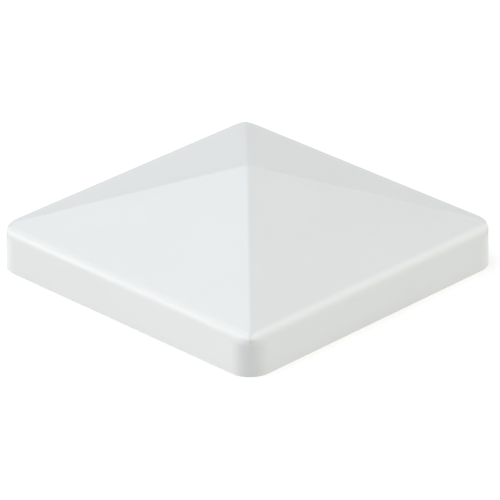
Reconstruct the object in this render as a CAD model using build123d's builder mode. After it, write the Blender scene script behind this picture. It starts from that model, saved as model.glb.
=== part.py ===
from build123d import *

import os
from math import atan, cos, degrees, radians, sin, tan

# Square pyramid cap that pushes over the top of a 127 mm (nominal 5 in) vinyl fence post.
# A thin moulded shell rests on the post's end by webs under its roof, and adhesive foam pads
# inside its skirt hold it to the post's sides. +Z is up, and the origin is the centre of the
# plane that the rim lies in. Lengths are millimetres and angles are degrees.

# Driving dimensions of the shell.
POST_SIDE = 127.0  # outside of the post
POST_CLEARANCE = 1.1  # from the post to the skirt, on each side, at the rim
WALL = 2.4
SKIRT_HEIGHT = 17.0  # from the rim to where the skirt's and the roof's planes cross
ROOF_RISE = 24.8  # from there to where the roof's planes cross
DRAFT = 1.25  # the skirt widens towards the rim
CORNER_RADIUS = 9.4  # upright corners, at the rim
EAVE_RADIUS = 4.5
HIP_RADIUS = 2.5
INNER_HIP_RADIUS = 1.5
RIM_RADIUS = 0.3
LEAD_IN = 0.8  # chamfer inside the rim, where the post enters

# Webs that the post's end stops against, and the crush ribs that centre it.
INSERTION = 13.0  # length of post inside the cap
WEB_THICKNESS = 1.6
WEB_REACH = 6.0  # from the post's side to the web's inner end
WEB_SPACING = 50.0  # from the middle of a side to its outer webs
CRUSH_CLEARANCE = 0.1
CRUSH_START = 2.0  # from the rim to a crush rib
CRUSH_LEAD = 3.0  # height of the slope at a crush rib's foot

# Stiffening ribs, gate boss and ejector pads under the roof.
RIB_THICKNESS = 1.6
RIB_DEPTH = 3.0
BOSS_RADIUS = 5.0
BOSS_DEPTH = 4.5  # below the inside of the apex
GATE_RADIUS = 1.2
GATE_STUB = 0.5
EJECTOR_RADIUS = 3.5
EJECTOR_OUT = 38.0  # from the axis towards the side
EJECTOR_ALONG = 18.0  # from the middle of the side
EJECTOR_PROUD = 0.3  # at the pad's edge nearest the skirt

# Foam mounting pads, and the shallow recesses that they are stuck in.
PAD_LENGTH = 34.0
PAD_HEIGHT = 8.0
PAD_THICKNESS = 1.1
PAD_CORNER = 1.5
PAD_ALONG = 25.0  # from the middle of the side
PAD_Z = 7.5
RECESS_DEPTH = 0.3
RECESS_MARGIN = 0.4

SIDES = {"front": 0, "right": 90, "back": 180, "left": 270}
HALVES = {"a": -1, "b": 1}

# Worked out from the values above.
SKIRT_SIDE = POST_SIDE + 2 * (POST_CLEARANCE + WALL)
APEX = SKIRT_HEIGHT + ROOF_RISE
EAVE_HALF = SKIRT_SIDE / 2 - SKIRT_HEIGHT * tan(radians(DRAFT))
SLOPE = degrees(atan(ROOF_RISE / EAVE_HALF))


def roof_height(out, inset=0.0):
    """Height of the roof plane, moved in by inset, at a distance out from the axis."""
    return APEX - inset / cos(radians(SLOPE)) - out * tan(radians(SLOPE))


def skirt_half(height, inset=0.0):
    """Distance from the axis to the skirt's outside, moved in by inset, at a height."""
    return SKIRT_SIDE / 2 - inset / cos(radians(DRAFT)) - height * tan(radians(DRAFT))


def envelope(inset, hip_radius=0.0, eave_radius=0.0):
    """The cap's outside, moved in by inset, as a solid that stands on the rim's plane."""
    side = 2 * skirt_half(0, inset)
    with BuildPart() as body:
        with BuildSketch():
            RectangleRounded(side, side, CORNER_RADIUS - inset)
        extrude(amount=APEX, taper=DRAFT)
        for upright in (Plane.XZ, Plane.YZ):
            with BuildSketch(upright):
                with BuildLine():
                    Polyline(
                        (-side, -APEX),
                        (-side, roof_height(side, inset)),
                        (0, roof_height(0, inset)),
                        (side, roof_height(side, inset)),
                        (side, -APEX),
                        close=True,
                    )
                make_face()
            extrude(amount=side, both=True, mode=Mode.INTERSECT)
        if hip_radius:
            apex = body.vertices().sort_by(Axis.Z)[-1]
            fillet(body.edges().filter_by(lambda edge: apex in edge.vertices()), hip_radius)
        if eave_radius:
            fillet(body.edges().filter_by(is_eave), eave_radius)
    return body.part


def is_eave(edge):
    """True for an edge of the ring where the roof meets the skirt."""
    heights = [vertex.Z for vertex in edge.vertices()]
    return min(heights) > SKIRT_HEIGHT / 2 and max(heights) - min(heights) < EAVE_RADIUS


def make_web(along):
    """A web and its crush rib on the front side, at a distance along it, before trimming."""
    post_face = POST_SIDE / 2 + CRUSH_CLEARANCE
    web_end = POST_SIDE / 2 - WEB_REACH
    buried = skirt_half(0, WALL / 2)
    with BuildPart() as web:
        with BuildSketch(Plane.YZ.offset(along)):
            with BuildLine():
                Polyline(
                    (-buried, CRUSH_START),
                    (-skirt_half(CRUSH_START, WALL), CRUSH_START),
                    (-post_face, CRUSH_START + CRUSH_LEAD),
                    (-post_face, INSERTION),
                    (-web_end, INSERTION),
                    (-web_end, APEX),
                    (-buried, APEX),
                    close=True,
                )
            make_face()
        extrude(amount=WEB_THICKNESS / 2, both=True)
    return web.part


def make_stiffeners():
    """Ribs under the hips and under the middle of each roof face, with the boss where they meet."""
    boss_foot = roof_height(0, WALL) - BOSS_DEPTH
    with BuildPart() as stiffeners:
        with BuildSketch(Plane.XY.offset(INSERTION)):
            with PolarLocations(0, 4, angular_range=180):
                Rectangle(2 * SKIRT_SIDE, RIB_THICKNESS)
        extrude(amount=APEX)
        add(envelope(WALL + RIB_DEPTH), mode=Mode.SUBTRACT)
        with BuildSketch(Plane.XY.offset(boss_foot)):
            Circle(BOSS_RADIUS)
        extrude(amount=APEX)
        with BuildSketch(Plane.XY.offset(boss_foot)):
            Circle(GATE_RADIUS)
        extrude(amount=-GATE_STUB)
    return stiffeners.part


def make_ejector_pads():
    """Round flats under the roof that the mould's ejector pins push on, before trimming."""
    foot = roof_height(EJECTOR_OUT + EJECTOR_RADIUS, WALL) - EJECTOR_PROUD
    with BuildPart() as pads:
        with BuildSketch(Plane.XY.offset(foot)):
            with PolarLocations(0, len(SIDES)):
                with Locations((EJECTOR_ALONG, EJECTOR_OUT), (-EJECTOR_ALONG, EJECTOR_OUT)):
                    Circle(EJECTOR_RADIUS)
        extrude(amount=APEX)
    return pads.part


def make_underside():
    """Everything that is moulded inside the cavity, trimmed halfway through the shell's wall."""
    webs = [make_web(along) for along in (-WEB_SPACING, 0, WEB_SPACING)]
    with BuildPart() as underside:
        add(make_stiffeners())
        add(make_ejector_pads())
        with PolarLocations(0, len(SIDES)):
            add(webs)
        add(envelope(WALL / 2), mode=Mode.INTERSECT)
    return underside.part


def pad_plane(angle, along):
    """Plane on the skirt's inside at a pad's middle, with its normal towards the post."""
    lean = radians(DRAFT)
    on_front = Plane(
        origin=(along, -skirt_half(PAD_Z, WALL), PAD_Z),
        x_dir=(1, 0, 0),
        z_dir=(0, cos(lean), -sin(lean)),
    )
    return Plane(Location((0, 0, 0), (0, 0, angle)) * on_front.location)


def make_shell(pad_planes):
    """The cap's one moulding, with a recess for a pad at each plane."""
    with BuildPart() as shell:
        add(envelope(0, HIP_RADIUS, EAVE_RADIUS))
        add(envelope(WALL, INNER_HIP_RADIUS, EAVE_RADIUS - WALL), mode=Mode.SUBTRACT)
        rim = shell.faces().sort_by(Axis.Z)[0]
        fillet(rim.outer_wire().edges(), RIM_RADIUS)
        rim = shell.faces().sort_by(Axis.Z)[0]
        chamfer(rim.inner_wires()[0].edges(), LEAD_IN)
        add(make_underside())
        with BuildSketch(*pad_planes):
            RectangleRounded(
                PAD_LENGTH + 2 * RECESS_MARGIN, PAD_HEIGHT + 2 * RECESS_MARGIN, PAD_CORNER
            )
        extrude(amount=-RECESS_DEPTH, mode=Mode.SUBTRACT)
    return shell.part


def make_pad(plane):
    """A die-cut foam pad, stuck to the floor of its recess."""
    with BuildPart() as pad:
        with BuildSketch(plane.offset(-RECESS_DEPTH)):
            RectangleRounded(PAD_LENGTH, PAD_HEIGHT, PAD_CORNER)
        extrude(amount=PAD_THICKNESS)
    return pad.part


def main():
    planes = {
        f"mounting_pad_{side}_{half}": pad_plane(angle, sign * PAD_ALONG)
        for side, angle in SIDES.items()
        for half, sign in HALVES.items()
    }
    pieces = {"cap_shell": make_shell(planes.values())}
    pieces.update({name: make_pad(plane) for name, plane in planes.items()})
    os.makedirs("parts", exist_ok=True)
    for name, piece in pieces.items():
        piece.label = name
        export_step(piece, f"parts/{name}.step")


if __name__ == "__main__":
    main()
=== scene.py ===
import math

import bmesh
import bpy
from mathutils import Matrix, Vector, noise


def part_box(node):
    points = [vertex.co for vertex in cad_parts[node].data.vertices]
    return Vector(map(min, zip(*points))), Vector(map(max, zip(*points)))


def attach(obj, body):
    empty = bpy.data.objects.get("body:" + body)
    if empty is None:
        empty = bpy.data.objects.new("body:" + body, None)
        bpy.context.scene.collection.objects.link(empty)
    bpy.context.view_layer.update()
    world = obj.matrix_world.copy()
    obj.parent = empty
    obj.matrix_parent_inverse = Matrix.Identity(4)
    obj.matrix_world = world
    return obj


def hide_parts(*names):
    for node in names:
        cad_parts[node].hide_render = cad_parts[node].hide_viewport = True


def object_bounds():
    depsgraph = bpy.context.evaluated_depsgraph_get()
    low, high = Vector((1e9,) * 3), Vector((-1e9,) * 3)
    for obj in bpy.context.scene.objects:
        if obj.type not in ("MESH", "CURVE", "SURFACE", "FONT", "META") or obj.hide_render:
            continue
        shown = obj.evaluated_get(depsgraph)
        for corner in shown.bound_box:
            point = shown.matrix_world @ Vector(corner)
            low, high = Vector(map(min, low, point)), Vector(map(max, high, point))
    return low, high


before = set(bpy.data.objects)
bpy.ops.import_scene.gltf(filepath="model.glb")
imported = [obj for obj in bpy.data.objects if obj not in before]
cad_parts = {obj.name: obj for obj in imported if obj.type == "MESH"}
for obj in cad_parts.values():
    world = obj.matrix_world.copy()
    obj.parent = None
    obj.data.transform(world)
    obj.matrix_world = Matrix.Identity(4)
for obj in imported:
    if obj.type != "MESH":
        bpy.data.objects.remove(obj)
cad_low, cad_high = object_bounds()

MM = 0.001  # lengths are metres
WIDTH = cad_high.x - cad_low.x  # across the rim, which the camera's distances follow

# The cap's own shape, as in the CAD model.
DRAFT = math.radians(1.25)
CORNER_RADIUS = 9.4 * MM
EAVE_RADIUS = 4.5 * MM
APEX = 41.8 * MM  # where the roof's planes cross
ROOF_SLOPE = math.radians(20.416)

# The foam pads, as in the CAD model.
PAD_NODES = [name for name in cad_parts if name.startswith("mounting_pad")]
PAD_HEIGHT = 8.0 * MM
PAD_THICKNESS = 1.1 * MM
PAD_CORNER = 1.5 * MM

# How die-cut foam differs from a plain slab.
PAD_COLUMNS = 68
PAD_ROWS = 22
PAD_LAYERS = 6  # through the thickness
CUT_INSET = 0.16 * MM  # how far the cut sides pull in halfway through
CUT_ROUGHNESS = 0.035 * MM
CUT_BLOTCH = 0.45 * MM  # size of that roughness along the side
EDGE_ROLL = 0.14 * MM  # how far the free face drops at its edge
ROLL_WIDTH = 0.7 * MM
FACE_RIPPLE = 0.035 * MM
RIPPLE_LENGTH = 2.6 * MM
NOISE_STEP = Vector((1, 2.7, 0))  # through the noise, from one pad's to the next's

# Vinyl: the moulding's outside is satin, and it gives way to the matt inside within the wall.
# Tones here and below are linear red, green, blue and alpha.
INSIDE_STARTS = 1.05 * MM  # depth in the wall
INSIDE_WHOLE = 1.35 * MM
VINYL_CLOUD = 28 * MM  # sizes across
VINYL_SPECK = 0.7 * MM
EROSION_GRAIN = 0.38 * MM
OUTSIDE_DEEP = (0.722, 0.734, 0.738, 1)
OUTSIDE_PALE = (0.738, 0.747, 0.748, 1)
SPECK_TONE = (0.728, 0.736, 0.736, 1)
SPECK_SHARE = 0.35  # of that tone, in the middle of a speck
INSIDE_DEEP = (0.66, 0.672, 0.672, 1)
INSIDE_PALE = (0.70, 0.711, 0.71, 1)
SATIN_ROUGHNESS = (0.36, 0.43)
MATT_ROUGHNESS = (0.56, 0.70)
STREAK_ROUGHNESS = 0.012  # more or less, in a flow streak
SPECK_RELIEF = 0.0035  # reliefs are in millimetres
CLOUD_RELIEF = 0.03
EROSION_RELIEF = 0.06
VINYL_IOR = 1.53

# Vinyl: along the eaves the colour is painted lighter as a highlight, most of all at the upright corners,
# and the roughness is a little lower there, as if polished.
HIGHLIGHT_AND_POLISH_LOW = 0.3  # angles above level that the surface faces, in radians
HIGHLIGHT_AND_POLISH_MIDDLE = 0.78
HIGHLIGHT_AND_POLISH_HIGH = 1.18
# Painted highlight tones, lighter than the outside's own: one for the eaves and one for the upright
# corners.
EAVE_HIGHLIGHT_TONE = (0.788, 0.794, 0.807, 1)
CORNER_HIGHLIGHT_TONE = (0.885, 0.89, 0.90, 1)
CORNER_HIGHLIGHT_STARTS = 3.5 * MM  # past the start of a corner
CORNER_HIGHLIGHT_WHOLE = 8.0 * MM
BURNISH_ROUGHNESS = -0.03  # what it adds to the roughness

# Vinyl: the flow streaks under the roof are noise on a cylinder, which fans them out from the axis.
STREAK_WIDTH = 1.2 * MM
STREAK_FAN = 30 * MM  # distance from the axis at which a streak is that wide
STREAK_STRETCH = 0.06  # the noise's step outwards, as a share of the real one

# Vinyl: the shading's crease at each upright corner, where two straight eaves would meet in a mitre.
CREASE_TOP = 14.8 * MM  # it is whole above this height
CREASE_FOOT = 11.8 * MM  # and gone below this one
CREASE_WIDTH = 0.5 * MM  # on each side of it, over which the normal turns
CREASE_BLEND = 1.0 * MM  # past the start of a corner, over which it sets in
CORNER_REACH = 10.5 * MM  # from the rim's side to where a corner's rounding starts

# Foam, where the die cut it.
FOAM_CELL = 0.24 * MM
FOAM_CLOUD = 3 * MM
CELL_WALL = 0.16  # in cell widths
WALL_DEEP = (0.085, 0.088, 0.093, 1)
WALL_PALE = (0.125, 0.128, 0.134, 1)
# Painted shade: the open cells' hollows are darker than their walls.
HOLLOW_SHADE_TONE = (0.035, 0.036, 0.039, 1)
FOAM_ROUGHNESS = (0.82, 0.96)
FOAM_RELIEF = 0.09 * MM
CLOUD_SINK = 0.3  # of that relief

# Adhesive film on the foam's faces.
FILM_CLOUD = 5 * MM
FILM_PEEL = 0.8 * MM
FILM_BUBBLE = 1.1 * MM
FILM_DEEP = (0.068, 0.071, 0.077, 1)
FILM_PALE = (0.105, 0.109, 0.116, 1)
FILM_ROUGHNESS = (0.2, 0.38)
FILM_RELIEF = 0.035 * MM
BUBBLE_SINK = 0.5  # of that relief
FILM_IOR = 1.47

# Camera, at the reference view. Angles are degrees. Its numbers were not chosen by hand: a separate
# least-squares solve on the cap's straight edges made them.
CAMERA_AZIMUTH = 44.43
CAMERA_ELEVATION = 26.42
CAMERA_ROLL = -0.14
CAMERA_DISTANCE = 13.32 * WIDTH
CAMERA_RIGHT = 0.0066 * WIDTH
CAMERA_UP = 0.0407 * WIDTH
SENSOR = 36.0  # millimetres, as is the lens
LENS = 340.8

# Studio: distant soft lamps as name: (azimuth, elevation, angle across, strength, colour).
# Azimuth 0 is in front of the cap, and 90 on its right. The places and angles were chosen one by one.
# The strengths and colours were not: a separate least-squares fit to the reference view's tones made
# them, and a few were adjusted afterwards.
LAMPS = {
    "left_softbox": (-50, 6, 45, 2.32, (1.0, 0.998, 0.987)),
    "right_strip": (130, 10, 30, 0.69, (0.975, 1.0, 0.9)),
    "right_softbox": (130, 40, 60, 0.94, (1.0, 0.985, 0.93)),
    "front_overhead": (0, 62, 40, 1.20, (0.986, 1.0, 0.951)),
    "right_overhead": (120, 62, 40, 0.28, (0.987, 1.0, 0.938)),
    "left_overhead": (270, 62, 40, 0.99, (0.859, 0.911, 1.0)),
    "back_overhead": (180, 62, 40, 0.28, (0.895, 0.822, 1.0)),
}
WHITE = (1, 1, 1, 1)
FLOOR_SIDE = 12.0
FLOOR_DROP = 0.05 * MM  # the floor lies this far under the rim
FLOOR_TONE = (0.45, 0.45, 0.45, 1)
FLOOR_GLOW = 0.58  # with the lamps' light on its tone, this brings the floor to white


def direction(azimuth, elevation):
    """Unit vector from the cap towards an azimuth and an elevation in degrees."""
    a = math.radians(azimuth)
    e = math.radians(elevation)
    return Vector((math.sin(a) * math.cos(e), -math.cos(a) * math.cos(e), math.sin(e)))


def make_camera():
    """The camera at the reference view, moved sideways and up so that the cap sits as it does there."""
    back = direction(CAMERA_AZIMUTH, CAMERA_ELEVATION)
    level = Vector((0, 0, 1)).cross(back).normalized()
    roll = Matrix.Rotation(math.radians(CAMERA_ROLL), 3, back)
    right = roll @ level
    up = back.cross(right)
    data = bpy.data.cameras.new("camera")
    data.lens = LENS
    data.sensor_width = SENSOR
    camera = bpy.data.objects.new("camera", data)
    bpy.context.scene.collection.objects.link(camera)
    place = back * CAMERA_DISTANCE + right * CAMERA_RIGHT + up * CAMERA_UP
    camera.matrix_world = Matrix.Translation(place) @ Matrix((right, up, back)).transposed().to_4x4()
    bpy.context.scene.camera = camera


def make_lamp(name, azimuth, elevation, angle, strength, colour):
    """A distant lamp as soft as a disc that looks angle degrees across."""
    data = bpy.data.lights.new(name, "SUN")
    data.energy = strength
    data.angle = math.radians(angle)
    data.color = colour
    lamp = bpy.data.objects.new(name, data)
    lamp.rotation_mode = "QUATERNION"
    lamp.rotation_quaternion = direction(azimuth, elevation).to_track_quat("Z", "Y")
    bpy.context.scene.collection.objects.link(lamp)


def make_backdrop():
    """White past the floor's edge, where nearly level views see it. It lights nothing."""
    backdrop = bpy.data.worlds.new("backdrop")
    backdrop.use_nodes = True
    backdrop.node_tree.nodes["Background"].inputs["Color"].default_value = WHITE
    for ray in ("diffuse", "glossy", "transmission", "scatter"):
        setattr(backdrop.cycles_visibility, ray, False)
    bpy.context.scene.world = backdrop


def make_floor():
    """Pale paper under the cap, partly self-lit."""
    half = FLOOR_SIDE / 2
    z = cad_low.z - FLOOR_DROP
    mesh = bpy.data.meshes.new("floor")
    mesh.from_pydata(
        [(-half, -half, z), (half, -half, z), (half, half, z), (-half, half, z)], [], [(0, 1, 2, 3)]
    )
    floor = bpy.data.objects.new("floor", mesh)
    bpy.context.scene.collection.objects.link(floor)
    paper = bpy.data.materials.new("floor_paper")
    paper.use_nodes = True
    shader = paper.node_tree.nodes["Principled BSDF"]
    shader.inputs["Base Color"].default_value = FLOOR_TONE
    shader.inputs["Roughness"].default_value = 1.0
    shader.inputs["Specular IOR Level"].default_value = 0.0
    shader.inputs["Emission Color"].default_value = WHITE
    shader.inputs["Emission Strength"].default_value = FLOOR_GLOW
    mesh.materials.append(paper)


def show_as_is():
    """Sets the view so that a tone comes out as it is, with no film curve."""
    settings = bpy.context.scene.view_settings
    settings.view_transform = "Standard"
    settings.look = "None"


class Recipe:
    """The nodes of one material, added a step at a time around its Principled shader."""

    def __init__(self, name):
        self.material = bpy.data.materials.new(name)
        self.material.use_nodes = True
        self.tree = self.material.node_tree
        self.shader = self.tree.nodes["Principled BSDF"]
        self.place = self.add("ShaderNodeTexCoord").outputs["Object"]

    def add(self, kind, inputs=None, **settings):
        """A new node, with each of its inputs linked to a socket or set to a value."""
        node = self.tree.nodes.new(kind)
        for key, value in settings.items():
            setattr(node, key, value)
        for key, value in (inputs or {}).items():
            if isinstance(value, bpy.types.NodeSocket):
                self.tree.links.new(value, node.inputs[key])
            else:
                node.inputs[key].default_value = value
        return node

    def maths(self, operation, *values):
        """One step of arithmetic, by the name of its operation."""
        return self.add("ShaderNodeMath", dict(enumerate(values)), operation=operation).outputs[0]

    def coordinates(self):
        """X, Y and Z of the shaded point, in metres."""
        xyz = self.add("ShaderNodeSeparateXYZ", {"Vector": self.place}).outputs
        return xyz["X"], xyz["Y"], xyz["Z"]

    def offsets(self):
        """How far the shaded point is from the cap's axis along X and along Y, and its height."""
        x, y, height = self.coordinates()
        return self.maths("ABSOLUTE", x), self.maths("ABSOLUTE", y), height

    def spread(self, value, low, high, to_low=0.0, to_high=1.0):
        """value, taken smoothly from the range low to high to the range to_low to to_high."""
        inputs = {"Value": value, "From Min": low, "From Max": high, "To Min": to_low, "To Max": to_high}
        return self.add("ShaderNodeMapRange", inputs, interpolation_type="SMOOTHSTEP").outputs["Result"]

    def grain(self, size, detail=2.0, roughness=0.5, distortion=0.0, place=None):
        """Noise from 0 to 1 whose blotches are about size across, in metres."""
        inputs = {
            "Vector": place or self.place,
            "Scale": 1 / size,
            "Detail": detail,
            "Roughness": roughness,
            "Distortion": distortion,
        }
        return self.add("ShaderNodeTexNoise", inputs).outputs["Fac"]

    def cells(self, size, feature="F1"):
        """Distance from the middle or the edge of irregular cells about size across, in cell widths."""
        inputs = {"Vector": self.place, "Scale": 1 / size}
        return self.add("ShaderNodeTexVoronoi", inputs, feature=feature).outputs["Distance"]

    def mix(self, share, first, second):
        """Colour between first and second."""
        # A Mix node has inputs of the same names for each kind of value, so they go by number.
        return self.add("ShaderNodeMix", {0: share, 6: first, 7: second}, data_type="RGBA").outputs[2]

    def blend(self, share, first, second):
        """Value between first and second."""
        return self.add("ShaderNodeMix", {0: share, 2: first, 3: second}, data_type="FLOAT").outputs[0]

    def lean_towards(self, share, first, second):
        """Unit vector between first and second."""
        node = self.add("ShaderNodeMix", {0: share, 4: first, 5: second}, data_type="VECTOR")
        mixed = node.outputs[1]
        return self.add("ShaderNodeVectorMath", {0: mixed}, operation="NORMALIZE").outputs["Vector"]

    def drive(self, name, value):
        """Links value to the shader's socket of that name."""
        self.tree.links.new(value, self.shader.inputs[name])

    def emboss(self, height, depth, normal=None):
        """Bump whose relief is height times depth, in metres, on the surface's own normal or another."""
        inputs = {"Height": height, "Distance": depth, "Strength": 1.0}
        if normal:
            inputs["Normal"] = normal
        self.drive("Normal", self.add("ShaderNodeBump", inputs).outputs["Normal"])


def depth_in_wall(recipe):
    """How far the shaded point is in from the cap's sharp outside, in metres."""
    across, along, height = recipe.offsets()
    narrowing = recipe.maths("MULTIPLY", height, math.tan(DRAFT))
    past = [
        recipe.maths("ADD", recipe.maths("SUBTRACT", out, WIDTH / 2 - CORNER_RADIUS), narrowing)
        for out in (across, along)
    ]
    squares = [recipe.maths("POWER", recipe.maths("MAXIMUM", value, 0.0), 2.0) for value in past]
    round_part = recipe.maths("SQRT", recipe.maths("ADD", *squares))
    flat_part = recipe.maths("MINIMUM", recipe.maths("MAXIMUM", *past), 0.0)
    skirt_depth = recipe.maths("SUBTRACT", CORNER_RADIUS, recipe.maths("ADD", round_part, flat_part))
    farthest = recipe.maths("MAXIMUM", across, along)
    roof = recipe.maths("MULTIPLY_ADD", farthest, -math.tan(ROOF_SLOPE), APEX)
    roof_depth = recipe.maths("MULTIPLY", recipe.maths("SUBTRACT", roof, height), math.cos(ROOF_SLOPE))
    return recipe.maths("MINIMUM", skirt_depth, roof_depth)


def eave_centre():
    """Distance out and height of the eave arc's centre."""
    skirt = WIDTH / 2 - EAVE_RADIUS / math.cos(DRAFT)
    roof = APEX - EAVE_RADIUS / math.cos(ROOF_SLOPE)
    out = (skirt - roof * math.tan(DRAFT)) / (1 - math.tan(ROOF_SLOPE) * math.tan(DRAFT))
    return out, roof - out * math.tan(ROOF_SLOPE)


def eave_lean(recipe):
    """Angle above level that a straight eave's surface faces: the draft on the skirt, steep on the roof."""
    centre_out, centre_up = eave_centre()
    across, along, height = recipe.offsets()
    out = recipe.maths("SUBTRACT", recipe.maths("MAXIMUM", across, along), centre_out)
    up = recipe.maths("SUBTRACT", height, centre_up)
    lean = recipe.maths("ARCTAN2", up, out)
    return recipe.maths("MINIMUM", recipe.maths("MAXIMUM", lean, DRAFT), math.pi / 2 - ROOF_SLOPE)


def way_into_corner(recipe):
    """How far the shaded point is along its side past the start of an upright corner, in metres."""
    across, along, _ = recipe.offsets()
    return recipe.maths("SUBTRACT", recipe.maths("MINIMUM", across, along), WIDTH / 2 - CORNER_REACH)


def creased_normal(recipe, lean, past_corner, inside):
    """The outside's normal, turned at each upright corner's top as if two straight eaves met there.

    The moulding's eaves keep their crisp line right up to the diagonal, though its corners are round.
    """
    x, y, height = recipe.coordinates()
    difference = recipe.maths("SUBTRACT", recipe.maths("ABSOLUTE", x), recipe.maths("ABSOLUTE", y))
    on_x_side = recipe.spread(difference, -CREASE_WIDTH, CREASE_WIDTH)
    on_y_side = recipe.maths("SUBTRACT", 1.0, on_x_side)
    level = recipe.maths("COSINE", lean)
    eave = recipe.add("ShaderNodeCombineXYZ", {
        "X": recipe.maths("MULTIPLY", recipe.maths("MULTIPLY", recipe.maths("SIGN", x), on_x_side), level),
        "Y": recipe.maths("MULTIPLY", recipe.maths("MULTIPLY", recipe.maths("SIGN", y), on_y_side), level),
        "Z": recipe.maths("SINE", lean),
    }).outputs["Vector"]
    eave = recipe.add(
        "ShaderNodeVectorTransform", {"Vector": eave},
        vector_type="NORMAL", convert_from="OBJECT", convert_to="WORLD",
    ).outputs["Vector"]
    upper = recipe.spread(height, CREASE_FOOT, CREASE_TOP)
    share = recipe.maths("MULTIPLY", recipe.spread(past_corner, 0.0, CREASE_BLEND), upper)
    share = recipe.maths("MULTIPLY", share, recipe.maths("SUBTRACT", 1.0, inside))
    own = recipe.add("ShaderNodeNewGeometry").outputs["Normal"]
    return recipe.lean_towards(share, own, eave)


def flow_streaks(recipe):
    """Faint streaks that fan out from the gate under the apex, where the melt came in."""
    x, y, _ = recipe.coordinates()
    turn = recipe.maths("ARCTAN2", y, x)
    squares = recipe.maths("ADD", recipe.maths("POWER", x, 2.0), recipe.maths("POWER", y, 2.0))
    out = recipe.maths("SQRT", squares)
    fan = recipe.add("ShaderNodeCombineXYZ", {
        "X": recipe.maths("MULTIPLY", recipe.maths("SINE", turn), STREAK_FAN),
        "Y": recipe.maths("MULTIPLY", recipe.maths("COSINE", turn), STREAK_FAN),
        "Z": recipe.maths("MULTIPLY", out, STREAK_STRETCH),
    }).outputs["Vector"]
    return recipe.grain(STREAK_WIDTH, place=fan)


def make_vinyl():
    """White moulded vinyl: satin outside with a highlight painted lighter along the eaves, and a coarser
    matt spark-eroded finish inside.
    """
    vinyl = Recipe("white_vinyl")
    inside = vinyl.spread(depth_in_wall(vinyl), INSIDE_STARTS, INSIDE_WHOLE)
    lean = eave_lean(vinyl)
    past_corner = way_into_corner(vinyl)
    # Where the eave faces between these angles: a painted highlight in the colour, and polish in the
    # roughness.
    painted_highlight_and_polish = vinyl.maths(
        "MULTIPLY",
        vinyl.spread(lean, HIGHLIGHT_AND_POLISH_LOW, HIGHLIGHT_AND_POLISH_MIDDLE),
        vinyl.spread(lean, HIGHLIGHT_AND_POLISH_HIGH, HIGHLIGHT_AND_POLISH_MIDDLE),
    )
    clouds = vinyl.grain(VINYL_CLOUD, detail=3.0, roughness=0.45)
    specks = vinyl.grain(VINYL_SPECK)
    streaks = flow_streaks(vinyl)

    # Noise seldom leaves the middle of its range, so that is the range that each step spreads.
    clouded = vinyl.mix(vinyl.spread(clouds, 0.3, 0.7), OUTSIDE_DEEP, OUTSIDE_PALE)
    speckled = vinyl.mix(vinyl.spread(specks, 0.35, 0.8, 0.0, SPECK_SHARE), clouded, SPECK_TONE)
    # Painted highlight: the eaves' colour is made lighter, lightest at the upright corners.
    corner = vinyl.spread(past_corner, CORNER_HIGHLIGHT_STARTS, CORNER_HIGHLIGHT_WHOLE)
    with_painted_highlight = vinyl.mix(painted_highlight_and_polish, speckled, vinyl.mix(corner, EAVE_HIGHLIGHT_TONE, CORNER_HIGHLIGHT_TONE))
    streaked = vinyl.mix(vinyl.spread(streaks, 0.3, 0.7), INSIDE_DEEP, INSIDE_PALE)
    vinyl.drive("Base Color", vinyl.mix(inside, with_painted_highlight, streaked))

    cloudy = vinyl.spread(clouds, 0.25, 0.75, *SATIN_ROUGHNESS)
    streaky = vinyl.spread(streaks, 0.2, 0.8, -STREAK_ROUGHNESS, STREAK_ROUGHNESS)
    satin = vinyl.maths("MULTIPLY_ADD", painted_highlight_and_polish, BURNISH_ROUGHNESS, vinyl.maths("ADD", cloudy, streaky))
    matt = vinyl.spread(specks, 0.2, 0.8, *MATT_ROUGHNESS)
    vinyl.drive("Roughness", vinyl.blend(inside, satin, matt))

    speck_relief = vinyl.maths("MULTIPLY", specks, SPECK_RELIEF)
    polish = vinyl.maths("ADD", speck_relief, vinyl.maths("MULTIPLY", clouds, CLOUD_RELIEF))
    pits = vinyl.grain(EROSION_GRAIN, detail=4.0, roughness=0.65)
    erosion = vinyl.maths("MULTIPLY", pits, EROSION_RELIEF)
    vinyl.emboss(vinyl.blend(inside, polish, erosion), MM, creased_normal(vinyl, lean, past_corner, inside))
    # The crease turns the normal far from the surface's own, where this correction would smudge it.
    vinyl.material.cycles.use_bump_map_correction = False
    vinyl.shader.inputs["IOR"].default_value = VINYL_IOR
    return vinyl.material


def make_foam():
    """Dark closed-cell foam where the die cut it, with open cells whose hollows are painted darker, as
    shade.
    """
    foam = Recipe("foam_core")
    from_middle = foam.cells(FOAM_CELL)
    from_edge = foam.cells(FOAM_CELL, feature="DISTANCE_TO_EDGE")
    clouds = foam.grain(FOAM_CLOUD, detail=3.0)
    wall_tone = foam.mix(clouds, WALL_DEEP, WALL_PALE)
    # Painted shade: darker in the hollows of the cells, away from their walls.
    foam.drive("Base Color", foam.mix(foam.spread(from_edge, 0.0, CELL_WALL), wall_tone, HOLLOW_SHADE_TONE))
    foam.drive("Roughness", foam.spread(clouds, 0.2, 0.8, *FOAM_ROUGHNESS))
    relief = foam.maths("SUBTRACT", from_middle, foam.maths("MULTIPLY", clouds, CLOUD_SINK))
    foam.emboss(relief, FOAM_RELIEF)
    return foam.material


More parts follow.
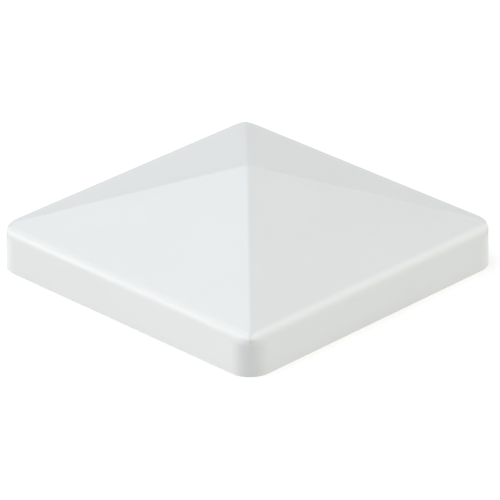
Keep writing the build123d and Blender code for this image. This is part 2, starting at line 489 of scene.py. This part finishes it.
def make_adhesive():
    """Tacky acrylic film on the foam's faces, uneven and with small bubbles where its liner was."""
    film = Recipe("adhesive_film")
    clouds = film.grain(FILM_CLOUD, detail=3.0, distortion=0.4)
    peel = film.grain(FILM_PEEL)
    dimples = film.spread(film.cells(FILM_BUBBLE), 0.05, 0.3, -BUBBLE_SINK, 0.0)
    film.drive("Base Color", film.mix(clouds, FILM_DEEP, FILM_PALE))
    film.drive("Roughness", film.spread(peel, 0.25, 0.75, *FILM_ROUGHNESS))
    film.emboss(film.maths("ADD", peel, dimples), FILM_RELIEF)
    film.shader.inputs["IOR"].default_value = FILM_IOR
    return film.material


def pad_frame(node):
    """Matrix of a pad's own frame: X along the skirt, Y up it and Z towards the post; and its length."""
    low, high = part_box(node)
    middle = (low + high) / 2
    size = high - low
    if size.x > size.y:
        inward = Vector((0, -math.copysign(1, middle.y), 0))
    else:
        inward = Vector((-math.copysign(1, middle.x), 0, 0))
    out = inward * math.cos(DRAFT) - Vector((0, 0, math.sin(DRAFT)))
    along = Vector((0, 0, 1)).cross(out).normalized()
    up = out.cross(along)
    turned = Matrix((along, up, out)).transposed().to_4x4()
    return Matrix.Translation(middle) @ turned, max(size.x, size.y)


def past_corner_centre(x, y, length):
    """How far a point is past the centre of a pad's nearest corner, along the pad and up it."""
    return abs(x) - (length / 2 - PAD_CORNER), abs(y) - (PAD_HEIGHT / 2 - PAD_CORNER)


def pad_outline_reach(y, length):
    """Half the pad's length at a height y from its middle, which its rounded corners shorten."""
    into_corner = abs(y) - (PAD_HEIGHT / 2 - PAD_CORNER)
    if into_corner <= 0:
        return length / 2
    return length / 2 - PAD_CORNER + math.sqrt(max(PAD_CORNER**2 - into_corner**2, 0))


def edge_distance(x, y, length):
    """How far a point on a pad's face is from the outline, near enough for the rolled edge."""
    qx, qy = past_corner_centre(x, y, length)
    return PAD_CORNER - math.hypot(max(qx, 0), max(qy, 0)) - min(max(qx, qy), 0)


def outward_at(x, y, length):
    """Unit vector out of a pad's side at a point of its outline."""
    qx, qy = past_corner_centre(x, y, length)
    return Vector((math.copysign(max(qx, 0), x), math.copysign(max(qy, 0), y), 0)).normalized()


def rough(point, scale, seed):
    """Repeatable noise from 0 to 1 at a point, with blotches about scale across."""
    return (1 + noise.noise(point / scale + seed * NOISE_STEP)) / 2


def crowded(steps):
    """Numbers from -1 to 1 that crowd towards both ends, so that a pad's corners come out round."""
    return [math.sin(math.pi * (step / steps - 0.5)) for step in range(steps + 1)]


def grid_index(row, column):
    """Number of a grid point, where rows of a pad's face go up it."""
    return row * (PAD_COLUMNS + 1) + column


def grid_rim():
    """Numbers of the grid points round a pad's outline, in order."""
    rim = [grid_index(0, column) for column in range(PAD_COLUMNS)]
    rim += [grid_index(row, PAD_COLUMNS) for row in range(PAD_ROWS)]
    rim += [grid_index(PAD_ROWS, column) for column in range(PAD_COLUMNS, 0, -1)]
    rim += [grid_index(row, 0) for row in range(PAD_ROWS, 0, -1)]
    return rim


def free_face_height(x, y, length, seed):
    """Height of a pad's free face, which rolls down at its edge and ripples a little."""
    roll = max(0.0, 1 - max(edge_distance(x, y, length), 0) / ROLL_WIDTH)
    ripple = FACE_RIPPLE * rough(Vector((x, y, 0)), RIPPLE_LENGTH, seed)
    return PAD_THICKNESS / 2 - EDGE_ROLL * roll**2 - ripple


def cut_point(x, y, top, share, length, seed):
    """A point of a pad's cut side, at a share of the way up to the free face's edge at height top."""
    foot = -PAD_THICKNESS / 2
    place = Vector((x, y, foot + share * (top - foot)))
    drawn_in = CUT_INSET * math.sin(math.pi * share)
    ragged = CUT_ROUGHNESS * rough(place, CUT_BLOTCH, seed)
    return place - outward_at(x, y, length) * (drawn_in + ragged)


def pad_mesh(length, seed):
    """A pad in its own frame. Its faces have material 0 and its cut side 1."""
    heights = [PAD_HEIGHT / 2 * share for share in crowded(PAD_ROWS)]
    points = [
        (pad_outline_reach(y, length) * share, y) for y in heights for share in crowded(PAD_COLUMNS)
    ]
    rim = grid_rim()
    mesh = bmesh.new()
    stuck = [mesh.verts.new((x, y, -PAD_THICKNESS / 2)) for x, y in points]
    free = [mesh.verts.new((x, y, free_face_height(x, y, length, seed))) for x, y in points]
    layers = [[stuck[i] for i in rim]]
    for layer in range(1, PAD_LAYERS):
        share = layer / PAD_LAYERS
        layers.append([
            mesh.verts.new(cut_point(*points[i], free[i].co.z, share, length, seed)) for i in rim
        ])
    layers.append([free[i] for i in rim])

    for row in range(PAD_ROWS):
        for column in range(PAD_COLUMNS):
            start = grid_index(row, column)
            above = grid_index(row + 1, column)
            square = (start, start + 1, above + 1, above)
            mesh.faces.new([free[i] for i in square])
            mesh.faces.new([stuck[i] for i in reversed(square)])
    for lower, upper in zip(layers, layers[1:]):
        for i in range(len(rim)):
            after = (i + 1) % len(rim)
            side = mesh.faces.new((lower[i], lower[after], upper[after], upper[i]))
            side.material_index = 1
    for face in mesh.faces:
        face.smooth = True
    bmesh.ops.recalc_face_normals(mesh, faces=mesh.faces)
    for edge in mesh.edges:
        edge.smooth = len({face.material_index for face in edge.link_faces}) == 1
    return mesh


def make_pad(node, seed, film, foam):
    """A die-cut foam pad: flat where it is stuck down, rolled at its free edge and drawn in at the cut."""
    matrix, length = pad_frame(node)
    mesh = pad_mesh(length, seed)
    name = node.replace("mounting_pad", "foam_pad")
    data = bpy.data.meshes.new(name)
    mesh.to_mesh(data)
    mesh.free()
    data.materials.append(film)
    data.materials.append(foam)
    data.transform(matrix)
    pad = bpy.data.objects.new(name, data)
    bpy.context.scene.collection.objects.link(pad)
    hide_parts(node)
    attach(pad, "root")


make_camera()
make_backdrop()
for lamp_name, lamp in LAMPS.items():
    make_lamp(lamp_name, *lamp)
make_floor()
show_as_is()

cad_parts["cap_shell"].material_slots[0].material = make_vinyl()
adhesive_film = make_adhesive()
foam_core = make_foam()
for number, pad_node in enumerate(sorted(PAD_NODES)):
    make_pad(pad_node, number + 1, adhesive_film, foam_core)
